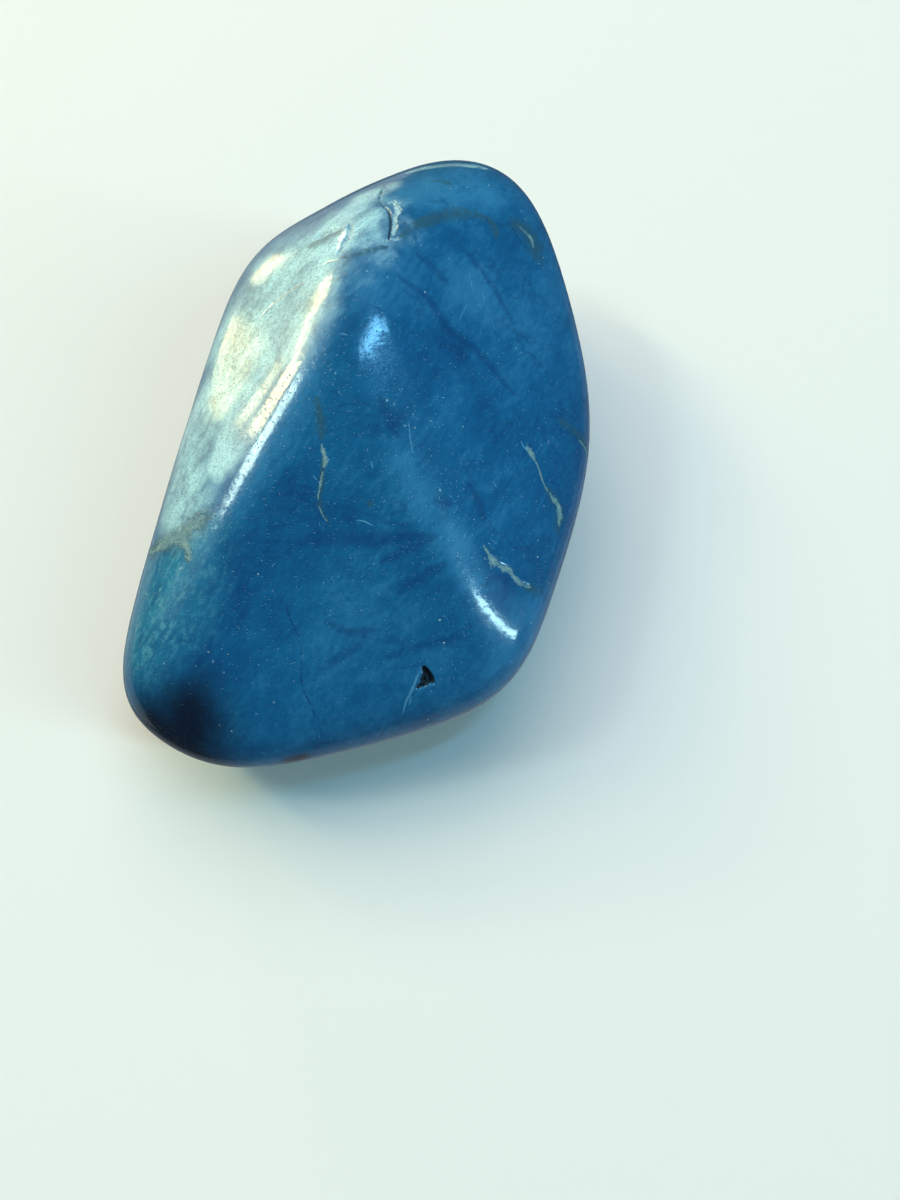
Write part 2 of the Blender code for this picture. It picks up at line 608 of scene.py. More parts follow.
        colour = self.dye(net)
        colour = net.mix(streak * 0.55, colour, self.night)
        colour = net.mix(rust * 0.75, colour, self.rust)
        colour = net.mix(chalk * 0.90, colour, self.vein)
        colour = net.mix(core * 0.70, colour, self.core)
        colour = net.mix(scratch * 0.75, colour, self.scratch)
        colour = net.mix(fissure * 0.80, colour, self.night)
        colour = net.mix(speck * 0.80, colour, self.lip)
        colour = net.mix(dust * 0.32, colour, self.lip)
        colour = net.mix(lip * 0.90, colour, self.lip)
        # Painted shade: the crack and the pit are darkened as if shade lay in them.
        colour = net.mix(crack * 0.75, colour, self.painted_recess_shade)
        colour = net.mix(pit, colour, self.painted_recess_shade)
        # Painted shade: the pits and the flank's crumbs are darkened so that they show as dark dots in the
        # highlights.
        colour = net.mix(pricked * 0.25, colour, self.deep)
        colour = net.mix(crumbs * milky * 0.50, colour, self.full)
        net.feed(net.shader.inputs["Base Color"], colour)

        bare = chalk.at_least(lip).at_least(crack).at_least(pit).at_least(speck)
        wear = net.cloud(where, 0.5, 4.0, 0.6)
        roughness = 0.07 + wear * 0.05 + milky * 0.03 + bare * 0.5 + pricked * 0.06
        net.feed(net.shader.inputs["Roughness"], roughness.at_most(0.9))
        net.feed(net.shader.inputs["IOR"], 1.58)
        net.feed(net.shader.inputs["Coat Weight"], (0.10 + milky * 0.90) * (1.0 - bare))
        net.feed(net.shader.inputs["Coat Roughness"], self.haze_roughness)
        net.feed(net.shader.inputs["Coat IOR"], 1.6)

        peel = net.cloud(where, 1.6, 3.0, 0.5)
        soft = net.bump(peel, 0.008 * MM, 0.9)
        crumbly = net.bump(1.0 - crumbs, 0.006 * MM, 1.0, soft)
        pitted = net.bump(1.0 - pricked, 0.011 * MM, 1.0, crumbly)
        chalky = net.bump((fine + 0.5) * bare, 0.060 * MM, 1.0, pitted)
        net.feed(net.shader.inputs["Normal"], chalky)
        return net.material


@dataclass
class Pebble:
    """The tumbled stone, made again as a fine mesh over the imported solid.

    Args:
        faces: the worn faces.
        swells: shallow swells and hollows.
        seen: marks that the viewpoint shows.
        hidden: marks on the other sides.
        view: the viewpoint, whose rays lay the seen marks on the stone.
        crispness: how crisp the ridges between the worn faces are.
        rest_patch_depth: stone worn away under the lowest point, in millimetres.
        steps: fineness of the even mesh, where each step splits every triangle in four.
        margins: how far past a mark's edge each finer round reaches, in millimetres.
        way_step: spacing along a hidden mark, as a length on a ball of radius 1.
        pixel_step: spacing along a seen mark, in pixels.
        wobble: height of the gentle wobble of the tumbled skin, in millimetres.
        crack_depth: depth of the crack, in millimetres.
        lip_drop: how far the torn lip lies under the skin, in millimetres.
        lip_grain: height of the grain on the torn lip, in millimetres.
        pit_depth: depth of the open pit, in millimetres.
        chalk_sink: how far a chalky vein lies under the skin, in millimetres.
        fissure_depth: depth of a fissure, in millimetres.
        scratch_depth: depth of a scratch, in millimetres.
        speck_depth: depth of a speck, in millimetres.
        far_mark: nearness that stands for no mark, as a multiple of a half width.
        heart: place of the heart, in millimetres.
        floor: level of the rest patch about the heart, in millimetres.
    """

    faces: dict[str, WornFace]
    swells: dict[str, Swell]
    seen: dict[str, SeenLine]
    hidden: dict[str, HiddenLine]
    view: Viewpoint
    crispness: float = 11.0
    rest_patch_depth: float = 0.3
    steps: int = 7
    margins: tuple[float, float] = (0.45, 0.22)
    way_step: float = 0.03
    pixel_step: float = 3.0
    wobble: float = 0.014
    crack_depth: float = 0.24
    lip_drop: float = 0.14
    lip_grain: float = 0.05
    pit_depth: float = 0.50
    chalk_sink: float = 0.030
    fissure_depth: float = 0.03
    scratch_depth: float = 0.02
    speck_depth: float = 0.06
    far_mark: float = 9.0
    heart: np.ndarray = field(init=False)
    floor: float = field(init=False)

    def reach(self, ways: np.ndarray) -> np.ndarray:
        """Distance in millimetres from the heart to the surface.

        Args:
            ways: unit vectors from the heart, one row each.

        Returns:
            One distance for each row.
        """
        normals = np.array([facing(face.bearing, face.rise) for face in self.faces.values()])
        distances = np.array([face.distance for face in self.faces.values()])
        nearness = np.clip(ways @ normals.T, 0.0, None) / distances
        nearest = nearness.max(axis=1, keepdims=True)
        blend = ((nearness / nearest) ** self.crispness).sum(axis=1) ** (1.0 / self.crispness)
        out = 1.0 / (nearest[:, 0] * blend)
        for swell in self.swells.values():
            angle = np.degrees(np.arccos(np.clip(ways @ facing(swell.bearing, swell.rise), -1.0, 1.0)))
            out += swell.height * np.exp(-((angle / swell.spread) ** 2))
        return out

    def surface(self, ways: np.ndarray) -> np.ndarray:
        """Points of the worn surface about the heart, in millimetres, with the rest patch flat."""
        points = ways * self.reach(ways)[:, None]
        points[:, 2] = np.maximum(points[:, 2], self.floor)
        return points

    def settle(self, mesh: bmesh.types.BMesh) -> None:
        """Find the rest patch's level and the heart's place from the first, even mesh.

        Args:
            mesh: ball whose corners give the ways from the heart.
        """
        ways = np.array([vertex.co.normalized() for vertex in mesh.verts])
        points = ways * self.reach(ways)[:, None]
        self.floor = float(points[:, 2].min()) + self.rest_patch_depth
        low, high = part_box("stone")
        middle = np.array((low + high) / 2) / MM
        own = (points.min(axis=0) + points.max(axis=0)) / 2
        self.heart = np.array([middle[0] - own[0], middle[1] - own[1], low.z / MM - self.floor])

    def route_points(self, line: SeenLine | HiddenLine, skin: BVHTree) -> np.ndarray:
        """Points of a mark's route on the surface, about the heart.

        Args:
            line: the mark.
            skin: the even mesh in world space, for rays from the viewpoint.

        Returns:
            One row in millimetres for each point.
        """
        if isinstance(line, HiddenLine):
            ends = np.array([facing(*bearing) for bearing in line.bearings])
            ways = resample(ends, self.way_step)
            return self.surface(ways / np.linalg.norm(ways, axis=1, keepdims=True))
        found = []
        for pixel in resample(np.array(line.pixels, dtype=float), self.pixel_step):
            spot = skin.ray_cast(self.view.eye, self.view.ray(tuple(pixel)))[0]
            if spot is not None:
                found.append(np.array(spot) / MM - self.heart)
        return np.array(found)

    def distances(self, points: np.ndarray, routes: Routes) -> dict[Mark, np.ndarray]:
        """How near each point is to each kind of mark, where 1 is the mark's edge.

        Args:
            points: positions about the heart in millimetres.
            routes: route of each mark, by its name.

        Returns:
            Values by kind of mark.
        """
        near = {mark: np.full(len(points), self.far_mark) for mark in Mark}
        for name, line in (self.seen | self.hidden).items():
            route = routes[name]
            reach = line.half_width * self.far_mark
            inside = np.all((points > route.min(0) - reach) & (points < route.max(0) + reach), axis=1)
            chosen = np.nonzero(inside)[0]
            value = line_distance(points[chosen], route, line.half_width, line.taper)
            near[line.mark][chosen] = np.minimum(near[line.mark][chosen], value)
        return near

    def refine(self, mesh: bmesh.types.BMesh, routes: Routes, rounds: Iterable[float]) -> None:
        """Divide the faces near the narrow marks.

        Args:
            mesh: ball about the heart, whose corners lie on the surface in millimetres.
            routes: route of each mark, by its name.
            rounds: how far past a mark's edge each round of division reaches, in millimetres.
        """
        for margin in rounds:
            points = np.array([vertex.co for vertex in mesh.verts])
            close = np.zeros(len(points), dtype=bool)
            for name, line in (self.seen | self.hidden).items():
                if line.mark in SOFT_MARKS:
                    continue
                route = routes[name]
                span = line.half_width + margin
                inside = np.all((points > route.min(0) - span) & (points < route.max(0) + span), axis=1)
                chosen = np.nonzero(inside)[0]
                close[chosen] |= line_distance(points[chosen], route, 1.0, 1.0) < span
            mesh.verts.ensure_lookup_table()
            edges = [edge for edge in mesh.edges if close[edge.verts[0].index] or close[edge.verts[1].index]]
            bmesh.ops.subdivide_edges(mesh, edges=edges, cuts=1, use_grid_fill=True)
            bmesh.ops.triangulate(mesh, faces=[face for face in mesh.faces if len(face.verts) > 3])
            self.lay_on_surface(mesh)

    def lay_on_surface(self, mesh: bmesh.types.BMesh) -> None:
        """Move every corner of the mesh onto the worn surface, in millimetres about the heart."""
        ways = np.array([vertex.co.normalized() for vertex in mesh.verts])
        for vertex, point in zip(mesh.verts, self.surface(ways)):
            vertex.co = point
        mesh.verts.index_update()

    def relief(self, points: np.ndarray, near: dict[Mark, np.ndarray]) -> np.ndarray:
        """Depth in millimetres by which the marks and the skin's wobble move the surface outward.

        Args:
            points: positions about the heart in millimetres.
            near: nearness to each kind of mark.

        Returns:
            One outward move for each point, mostly negative.
        """
        fray = ripple(points, 0.8, 5)
        move = self.wobble * ripple(points, 7.0, 11) + 0.1 * self.wobble * ripple(points, 2.6, 12)
        move -= self.crack_depth * smooth_step(1.0 - near[Mark.CRACK] + 0.15 * fray, 0.0, 0.9)
        move -= self.lip_drop * smooth_step(1.1 - near[Mark.LIP] + 0.25 * fray, 0.0, 0.35)
        move += self.lip_grain * ripple(points, 0.45, 21) * smooth_step(1.0 - near[Mark.LIP], 0.0, 0.4)
        move -= self.pit_depth * smooth_step(1.0 - near[Mark.PIT], 0.0, 0.55)
        move -= self.chalk_sink * smooth_step(1.0 - near[Mark.CHALK] + 0.5 * fray, 0.0, 0.6)
        move -= self.fissure_depth * smooth_step(1.0 - near[Mark.FISSURE], 0.0, 0.8)
        move -= self.scratch_depth * smooth_step(1.0 - near[Mark.SCRATCH], 0.0, 0.8)
        move -= self.speck_depth * smooth_step(1.0 - near[Mark.SPECK], 0.0, 0.8)
        return move

    def build(self) -> bpy.types.Object:
        """Make the fine mesh, with its relief and the nearness of its marks.

        Returns:
            The pebble's object.
        """
        ball = bmesh.new()
        bmesh.ops.create_icosphere(ball, subdivisions=self.steps, radius=1.0)
        self.settle(ball)
        self.lay_on_surface(ball)
        corners = [Vector((np.array(vertex.co) + self.heart) * MM) for vertex in ball.verts]
        skin = BVHTree.FromPolygons(corners, [[vertex.index for vertex in face.verts] for face in ball.faces])
        lines = self.seen | self.hidden
        routes = {name: self.route_points(line, skin) for name, line in lines.items()}
        self.refine(ball, routes, self.margins)
        data = bpy.data.meshes.new("pebble")
        ball.to_mesh(data)
        ball.free()
        count = len(data.vertices)
        flat = np.zeros(count * 3, dtype=np.float32)
        data.vertices.foreach_get("co", flat)
        points = flat.reshape(-1, 3).astype(float)
        data.vertex_normals.foreach_get("vector", flat)
        normals = flat.reshape(-1, 3).astype(float)
        near = self.distances(points, routes)
        moved = points + normals * self.relief(points, near)[:, None]
        moved[:, 2] = np.maximum(moved[:, 2], self.floor)
        data.vertices.foreach_set("co", ((moved + self.heart) * MM).astype(np.float32).ravel())
        for mark, values in near.items():
            attribute = data.attributes.new(mark.value, "FLOAT", "POINT")
            attribute.data.foreach_set("value", values.astype(np.float32))
        data.shade_smooth()
        data.update()
        pebble = bpy.data.objects.new("pebble", data)
        bpy.context.scene.collection.objects.link(pebble)
        LOG.info("pebble: %d corners, %d faces", count, len(data.polygons))
        return pebble


def resample(points: np.ndarray, step: float) -> np.ndarray:
    """Put even points along a smooth curve through the given ones.

    Args:
        points: points of the route, one row each.
        step: distance between the new points, in the points' own unit.

    Returns:
        The new points, one row each.
    """
    if len(points) == 1:
        return points
    padded = np.vstack([2 * points[0] - points[1], points, 2 * points[-1] - points[-2]])
    out = []
    for before, start, end, after in zip(padded, padded[1:], padded[2:], padded[3:]):
        count = max(1, int(round(np.linalg.norm(end - start) / step)))
        for share in np.arange(count) / count:
            slope_in, slope_out = (end - before) / 2, (after - start) / 2
            bend = 2 * start - 2 * end + slope_in + slope_out
            lean = -3 * start + 3 * end - 2 * slope_in - slope_out
            out.append(((bend * share + lean) * share + slope_in) * share + start)
    out.append(points[-1])
    return np.array(out)


def line_distance(points: np.ndarray, route: np.ndarray, half_width: float, taper: float) -> np.ndarray:
    """Distance to a route, as a share of its half width there.

    Args:
        points: positions, one row each.
        route: points of the route, one row each.
        half_width: half of the width in the middle of the route.
        taper: share of the half width that is left at the two ends.

    Returns:
        One value for each position.
    """
    if len(route) == 1:
        return np.linalg.norm(points - route[0], axis=1) / half_width
    best = np.full(len(points), np.inf)
    fullness = 0.6
    total = len(route) - 1
    for index in range(total):
        start, span = route[index], route[index + 1] - route[index]
        share = np.clip((points - start) @ span / max(span @ span, 1e-12), 0.0, 1.0)
        gap = np.linalg.norm(points - start - share[:, None] * span, axis=1)
        along = (index + share) / total
        width = half_width * (taper + (1.0 - taper) * np.sin(math.pi * np.clip(along, 0.0, 1.0)) ** fullness)
        best = np.minimum(best, gap / width)
    return best


@dataclass
class Studio:
    """Pale floor, which the polish doesn't mirror, and soft lights round the pebble.

    Args:
        panels: the light panels, by name.
        away: distance of the panels from the pebble, in metres.
        floor_size: length of the floor's sides, in metres.
        floor_drop: how far the floor lies under the pebble's rest patch, in metres.
        floor_colour: colour of the floor.
        floor_roughness: roughness of the floor.
        floor_shine: strength of the floor's own reflections.
        air_colour: colour of the even light from all round.
        air_glow: strength of that light.
    """

    panels: dict[str, Panel]
    away: float = 0.8
    floor_size: float = 4.0
    floor_drop: float = 0.02 * MM
    floor_colour: Colour = (0.72, 0.67, 0.62)
    floor_roughness: float = 0.75
    floor_shine: float = 0.2
    air_colour: Colour = (0.70, 0.88, 1.0)
    air_glow: float = 0.09

    def floor(self) -> bpy.types.Object:
        """Make the floor.

        Returns:
            The floor's object, marked as stage.
        """
        data = bpy.data.meshes.new("floor")
        half, level = self.floor_size / 2, -self.floor_drop
        corners = [(-half, -half, level), (half, -half, level), (half, half, level), (-half, half, level)]
        data.from_pydata(corners, [], [(0, 1, 2, 3)])
        floor = bpy.data.objects.new("floor", data)
        bpy.context.scene.collection.objects.link(floor)
        net = Net("pale_floor")
        net.feed(net.shader.inputs["Base Color"], self.floor_colour)
        net.feed(net.shader.inputs["Roughness"], self.floor_roughness)
        net.feed(net.shader.inputs["Specular IOR Level"], self.floor_shine)
        data.materials.append(net.material)
        floor.visible_glossy = False
        return floor

    def hang(self, name: str, panel: Panel) -> bpy.types.Object:
        """Hang one light panel.

        Args:
            name: name of the light.
            panel: the panel.

        Returns:
            The light's object.
        """
        data = bpy.data.lights.new(name, "AREA")
        data.shape = "RECTANGLE"
        data.size = 2 * self.away * math.tan(math.radians(panel.wide / 2))
        data.size_y = 2 * self.away * math.tan(math.radians(panel.high / 2))
        data.energy = panel.glow * math.pi * data.size * data.size_y
        data.color = panel.colour
        light = bpy.data.objects.new(name, data)
        way = Vector(facing(panel.bearing, panel.rise))
        light.location = way * self.away
        lean = Quaternion((0.0, 0.0, 1.0), math.radians(panel.lean))
        light.rotation_euler = (way.to_track_quat("Z", "Y") @ lean).to_euler()
        light.visible_glossy = panel.mirrored
        bpy.context.scene.collection.objects.link(light)
        return light

    def fill_air(self) -> None:
        """Fill the surroundings with an even, soft light."""
        world = bpy.data.worlds.new("air")
        world.use_nodes = True
        shade = world.node_tree.nodes["Background"]
        shade.inputs["Color"].default_value = (*self.air_colour, 1.0)
        shade.inputs["Strength"].default_value = self.air_glow
        bpy.context.scene.world = world

    def build(self) -> None:
        """Make the floor, the lights and the air, and keep the colours as they are lit."""
        self.floor()
        for name, panel in self.panels.items():
            self.hang(name, panel)
        self.fill_air()
        bpy.context.scene.view_settings.view_transform = "Standard"


WORN_FACES = {
    "long_flank": WornFace(210, 60, 9.1),
    "long_shoulder": WornFace(198, 50, 11.3),
    "far_shoulder": WornFace(153, 50, 14.1),
    "front_face": WornFace(-61, 66, 7),
    "right_face": WornFace(9, 57, 7.7),
    "far_crown": WornFace(82, 70, 13),
    "long_brow": WornFace(194, 13, 13),
    "near_left_brow": WornFace(-116, 39, 19.4),
    "near_brow": WornFace(-55, 28, 15.9),
    "right_brow": WornFace(2, 28, 13.6),
    "far_brow": WornFace(87, 32, 24.7),
    "long_wall": WornFace(189, -7, 14.3),
    "far_left_wall": WornFace(141, 2, 20.4),
    "far_wall": WornFace(95, -8, 27.4),
    "far_right_wall": WornFace(46, -5, 17.8),
    "right_wall": WornFace(32, -19, 16),
    "right_near_wall": WornFace(5, -17, 14.5),
    "near_wall": WornFace(-44, -9, 18.8),
    "near_left_wall": WornFace(-104, -1, 23.5),
    "base": WornFace(0, -90, 9.7),
    "under_long": WornFace(196, -48, 14.9),
    "under_far": WornFace(98, -42, 22),
    "under_right": WornFace(18, -50, 13.8),
    "under_near": WornFace(-56, -44, 17.6),
    "under_near_left": WornFace(-118, -38, 21.8),
}

SWELLS = {
    "swell_on_the_flank": Swell(-150, 22, 16, 0.20),
    "hollow_on_the_front": Swell(-78, 28, 18, -0.22),
    "swell_by_the_near_corner": Swell(-40, 20, 13, 0.18),
    "hollow_under_the_crown": Swell(40, 34, 16, -0.20),
    "swell_on_the_crown": Swell(88, 30, 12, 0.16),
    "hollow_beneath": Swell(-10, -42, 16, -0.25),
    "swell_beneath": Swell(70, -38, 20, 0.20),
}

SEEN_LINES = lines_of(Mark.CRACK, {
    "crown_crack": (0.12, 0.35, [(384, 207), (388, 210), (390, 216), (391, 224), (390, 231), (389, 239)]),
})
SEEN_LINES |= lines_of(Mark.FISSURE, {
    "crown_crack_top": (0.11, 0.4, [(387, 183), (382, 189), (379, 196), (380, 202), (385, 208)]),
    "crown_patch_crack": (0.09, 0.4, [(505, 222), (514, 230), (521, 243), (528, 249)]),
    "crown_vein_crack": (0.09, 0.4, [(482, 212), (488, 221), (493, 231), (499, 238)]),
    "flank_patch_foot": (0.10, 0.4, [(322, 266), (330, 262), (338, 260)]),
    "flank_crack": (0.10, 0.3, [(260, 319), (272, 305), (284, 295), (304, 282)]),
    "front_fissure_start": (0.10, 0.3, [(286, 606), (290, 620), (297, 634)]),
    "front_fissure": (
        0.09, 0.3,
        [(297, 634), (301, 652), (301, 676), (303, 690), (308, 700), (314, 714), (320, 728), (321, 738)],
    ),
})
SEEN_LINES |= lines_of(Mark.LIP, {
    "lip_top": (0.13, 0.5, [(387, 204), (392, 201), (396, 204), (401, 201)]),
    "lip_knot": (0.24, 0.7, [(396, 206), (398, 213)]),
    "lip_stem": (0.17, 0.6, [(397, 210), (395, 218), (395, 226), (393, 234)]),
    "lip_foot": (0.12, 0.4, [(386, 241), (391, 238), (396, 239), (400, 235)]),
    # Painted highlight: a thin pale edge right of the crack's top.
    "lip_rise": (0.06, 0.4, [(385, 187), (382, 193), (381, 199)]),
    # Partly painted highlight: the white edge of the flank patch is pale mineral with a glint painted over
    # it.
    "flank_patch_edge": (0.20, 0.5, [(350, 222), (350, 232), (345, 243), (338, 254)]),
    "flank_patch_cream": (0.30, 0.5, [(314, 240), (326, 233), (340, 228)]),
    "flank_stain_edge": (0.09, 0.4, [(150, 553), (156, 547), (160, 543)]),
})
SEEN_LINES |= lines_of(Mark.PIT, {
    "pit_mouth": (0.26, 0.5, [(424, 668), (428, 675), (433, 682)]),
    "pit_middle": (0.22, 0.6, [(426, 674), (422, 684)]),
    "pit_floor": (0.18, 0.4, [(433, 682), (424, 684), (417, 688)]),
})
SEEN_LINES |= lines_of(Mark.SCRATCH, {
    "pit_chalk": (0.11, 0.3, [(420, 670), (416, 680), (411, 692), (406, 702), (403, 714)]),
    "pit_chalk_tail": (0.07, 0.3, [(412, 696), (409, 706)]),
    "right_vein_start": (0.08, 0.5, [(521, 441), (524, 447), (528, 450)]),
    "scratch_one": (0.05, 0.3, [(469, 272), (473, 291)]),
    "scratch_two": (0.05, 0.3, [(482, 290), (485, 302)]),
    "scratch_three": (0.04, 0.3, [(468, 300), (459, 321)]),
    "scratch_four": (0.05, 0.3, [(409, 421), (410, 436), (413, 452)]),
    "scratch_five": (0.06, 0.3, [(356, 520), (364, 521), (374, 526)]),
    "scratch_six": (0.06, 0.3, [(339, 333), (348, 335)]),
    "scratch_seven": (0.05, 0.3, [(355, 289), (361, 286)]),
    "scratch_eight": (0.05, 0.3, [(371, 461), (373, 468)]),
    "scratch_nine": (0.05, 0.3, [(313, 475), (317, 480)]),
    "scratch_ten": (0.05, 0.3, [(318, 739), (320, 735), (324, 735)]),
})
SEEN_LINES |= lines_of(Mark.CHALK, {
    "middle_vein": (0.11, 0.4, [(321, 444), (324, 454), (325, 464)]),
    "middle_vein_thread": (0.07, 0.5, [(323, 472), (320, 486), (318, 500)]),
    "middle_vein_end": (0.06, 0.4, [(319, 506), (322, 514), (327, 521)]),
    "middle_vein_knot": (0.16, 0.6, [(326, 458), (324, 466)]),
    "right_scar": (0.08, 0.5, [(484, 546), (487, 551), (490, 556)]),
    "right_scar_neck": (0.17, 0.7, [(494, 560), (502, 567), (510, 569), (512, 576)]),
    "right_scar_tail": (0.16, 0.4, [(512, 574), (518, 581), (524, 585), (530, 587)]),
    "right_scar_knot": (0.30, 0.8, [(491, 558), (496, 563)]),
    "right_vein": (0.08, 0.6, [(534, 457), (539, 469), (543, 481), (548, 492)]),
    "right_vein_knot": (0.22, 0.6, [(527, 448), (531, 453), (534, 459)]),
    "right_edge_chalk": (0.24, 0.4, [(550, 494), (556, 502), (560, 512), (559, 526)]),
    "crown_patch_chalk": (0.15, 0.4, [(519, 226), (527, 234), (532, 240), (533, 248)]),
    "crown_edge_chalk": (0.12, 0.3, [(420, 170), (434, 166), (452, 165)]),
    "flank_stain_chalk": (0.42, 0.4, [(150, 552), (164, 543), (178, 536), (192, 527), (203, 517)]),
    "flank_stain_chalk_fork": (0.28, 0.3, [(180, 534), (187, 547), (190, 560)]),
})
SEEN_LINES |= lines_of(Mark.RUST, {
    "middle_vein_stain": (0.36, 0.3, [(316, 396), (319, 412), (321, 428), (321, 440)]),
    "middle_vein_root": (0.24, 0.3, [(323, 456), (322, 480), (320, 505), (328, 522)]),
    "middle_blot": (0.45, 1.0, [(321, 428)]),
    "cream_blot": (0.30, 1.0, [(369, 503)]),
    "right_scar_stain": (0.40, 0.6, [(522, 584), (531, 589), (542, 592)]),
    "right_edge_stain": (0.55, 0.4, [(546, 488), (554, 500), (560, 512), (558, 532)]),
    "crown_vein": (0.62, 0.4, [(402, 236), (414, 226), (430, 220), (452, 214), (470, 213), (484, 218)]),
    "crown_vein_end": (0.42, 0.5, [(488, 218), (494, 225), (496, 236)]),
    "crown_patch": (0.95, 0.6, [(514, 224), (527, 233), (534, 244), (536, 256)]),
    "crown_far_vein": (0.34, 0.3, [(430, 181), (442, 181), (452, 185)]),
    "flank_patch": (0.60, 0.5, [(310, 246), (324, 238), (340, 232)]),
    "flank_patch_vein": (0.26, 0.4, [(342, 258), (356, 255), (372, 250), (388, 247)]),
    "flank_stain": (1.15, 0.5, [(150, 552), (164, 543), (178, 536), (192, 526), (206, 515)]),
    "flank_stain_fork": (0.34, 0.3, [(180, 534), (185, 548), (188, 562)]),
})
# Painted sheen: paler dye on the crown, the summit and along the ridges, in place of reflected light round
# the highlights.
SEEN_LINES |= lines_of(Mark.PAINTED_SHEEN, {
    "crown_haze": (3.0, 0.7, [(404, 192), (430, 190), (462, 188), (490, 196)]),
    "summit_haze": (3.0, 0.7, [(350, 280), (392, 286), (430, 272), (480, 300)]),
    "ridge_haze": (1.7, 0.6, [(395, 445), (422, 495), (457, 555), (476, 585)]),
    "corner_haze": (1.6, 0.6, [(534, 600), (522, 640), (496, 668)]),
    "ridge_glow": (1.6, 0.5, [(338, 290), (300, 380), (264, 460), (240, 512)]),
    "flank_blue": (2.2, 0.6, [(262, 404), (236, 440), (214, 486)]),
})
SEEN_LINES |= lines_of(Mark.STREAK, {
    "streak_high": (0.70, 0.3, [(300, 543), (340, 539), (384, 539), (426, 536)]),
    "streak_high_fork": (0.50, 0.3, [(380, 562), (408, 550), (436, 534)]),
    "streak_middle": (0.45, 0.3, [(396, 594), (414, 582), (430, 572), (446, 564)]),
    "streak_low": (0.40, 0.3, [(380, 660), (404, 652), (428, 645), (454, 638), (470, 626)]),
    "streak_low_left": (0.40, 0.3, [(318, 670), (336, 660), (352, 650), (366, 636)]),
    "streak_left": (0.40, 0.3, [(322, 620), (338, 628), (356, 632), (380, 628)]),
    "streak_corner": (0.40, 0.3, [(482, 588), (494, 578), (506, 580), (504, 600)]),
    "streak_long": (0.45, 0.3, [(397, 276), (427, 298), (449, 330), (476, 350), (500, 378), (514, 394)]),
    "streak_high_right": (0.35, 0.3, [(412, 252), (430, 264), (449, 287)]),
    "streak_far_right": (0.32, 0.3, [(457, 240), (474, 262), (489, 280), (515, 326)]),
    "streak_mid_blot": (0.60, 0.3, [(380, 398), (388, 414), (398, 436)]),
    "streak_right_low": (0.45, 0.3, [(468, 482), (478, 500), (484, 520)]),
    "streak_ridge_blot": (0.50, 0.4, [(436, 500), (450, 504)]),
})
# Painted shade: very dark colour round the low nose and along its lower edge.
SEEN_LINES |= lines_of(Mark.PAINTED_NOSE_SHADE, {
    "nose_dark": (3.8, 0.7, [(190, 710), (184, 742), (198, 764)]),
    "nose_edge_dark": (3.0, 0.6, [(154, 722), (176, 752), (214, 774)]),
    "nose_edge_blot": (0.9, 0.5, [(288, 762), (304, 757)]),
})
# Painted shade: deeper blue on the lower left of the front and in a patch on the right face.
SEEN_LINES |= lines_of(Mark.PAINTED_SHADE, {
    "front_left_shade": (3.4, 0.6, [(300, 500), (268, 550), (238, 610), (216, 660)]),
    "right_shade": (1.2, 0.6, [(440, 338), (462, 356)]),
})
# The flank's milky patches are partly worn dye and partly painted reflection of the window; the pale crown
# edge is painted sheen.
SEEN_LINES |= lines_of(Mark.BLEACH_AND_SHEEN, {
    "flank_bleach": (4.0, 0.8, [(344, 226), (304, 252), (272, 290), (248, 330), (228, 380)]),
    "flank_bleach_low": (2.4, 0.6, [(214, 376), (198, 420), (186, 470), (178, 520)]),
    "flank_bleach_gap": (2.4, 0.7, [(316, 266), (290, 314), (266, 362)]),
    "flank_bleach_middle": (1.5, 0.6, [(252, 392), (234, 428), (216, 466)]),
    "crown_bleach": (1.2, 0.4, [(352, 206), (372, 194), (392, 184)]),
    "crown_edge_bleach": (0.4, 0.4, [(404, 174), (430, 167), (462, 165), (488, 169)]),
})
# Partly painted reflection: greener colour on the low end of the flank, dye with the window's sheen painted
# in.
SEEN_LINES |= lines_of(Mark.TEAL_AND_SHEEN, {
    "left_teal": (3.6, 0.8, [(190, 530), (166, 590), (146, 640)]),
})

HIDDEN_LINES = {
    "back_vein": HiddenLine(Mark.CHALK, 0.10, 0.3, [(128, 4), (121, -1), (117, -6)]),
    "back_vein_end": HiddenLine(Mark.CHALK, 0.08, 0.3, [(113, -14), (106, -20), (98, -24)]),
    "back_vein_fork": HiddenLine(Mark.RUST, 0.30, 0.2, [(118, -4), (125, -10), (130, -20)]),
    "back_vein_stain": HiddenLine(Mark.RUST, 0.70, 0.4, [(132, 6), (118, -3), (112, -15), (100, -24)]),
    "right_wall_vein": HiddenLine(
        Mark.RUST, 0.60, 0.4,
        [(34, 8), (26, -6), (12, -20), (-4, -34), (-16, -48)],
    ),
    "right_wall_chalk": HiddenLine(Mark.CHALK, 0.09, 0.3, [(30, 2), (27, -4), (22, -10)]),
    "right_wall_chalk_end": HiddenLine(Mark.CHALK, 0.12, 0.3, [(14, -18), (8, -24)]),
    "near_wall_crack": HiddenLine(Mark.FISSURE, 0.10, 0.3, [(-62, -4), (-68, -16), (-80, -28), (-92, -38)]),
    "under_vein": HiddenLine(
        Mark.RUST, 0.70, 0.4,
        [(150, -40), (175, -56), (220, -66), (262, -58), (280, -46)],
    ),
    "under_chalk": HiddenLine(Mark.CHALK, 0.11, 0.3, [(160, -48), (185, -60), (225, -68)]),
    "long_wall_streak": HiddenLine(Mark.STREAK, 0.70, 0.4, [(176, -4), (188, -12), (202, -16), (216, -14)]),
    "far_wall_streak": HiddenLine(Mark.STREAK, 0.60, 0.4, [(92, -2), (74, -10), (56, -14), (40, -16)]),
    "under_streak": HiddenLine(Mark.STREAK, 0.80, 0.4, [(60, -50), (40, -64), (330, -74), (300, -60)]),
}

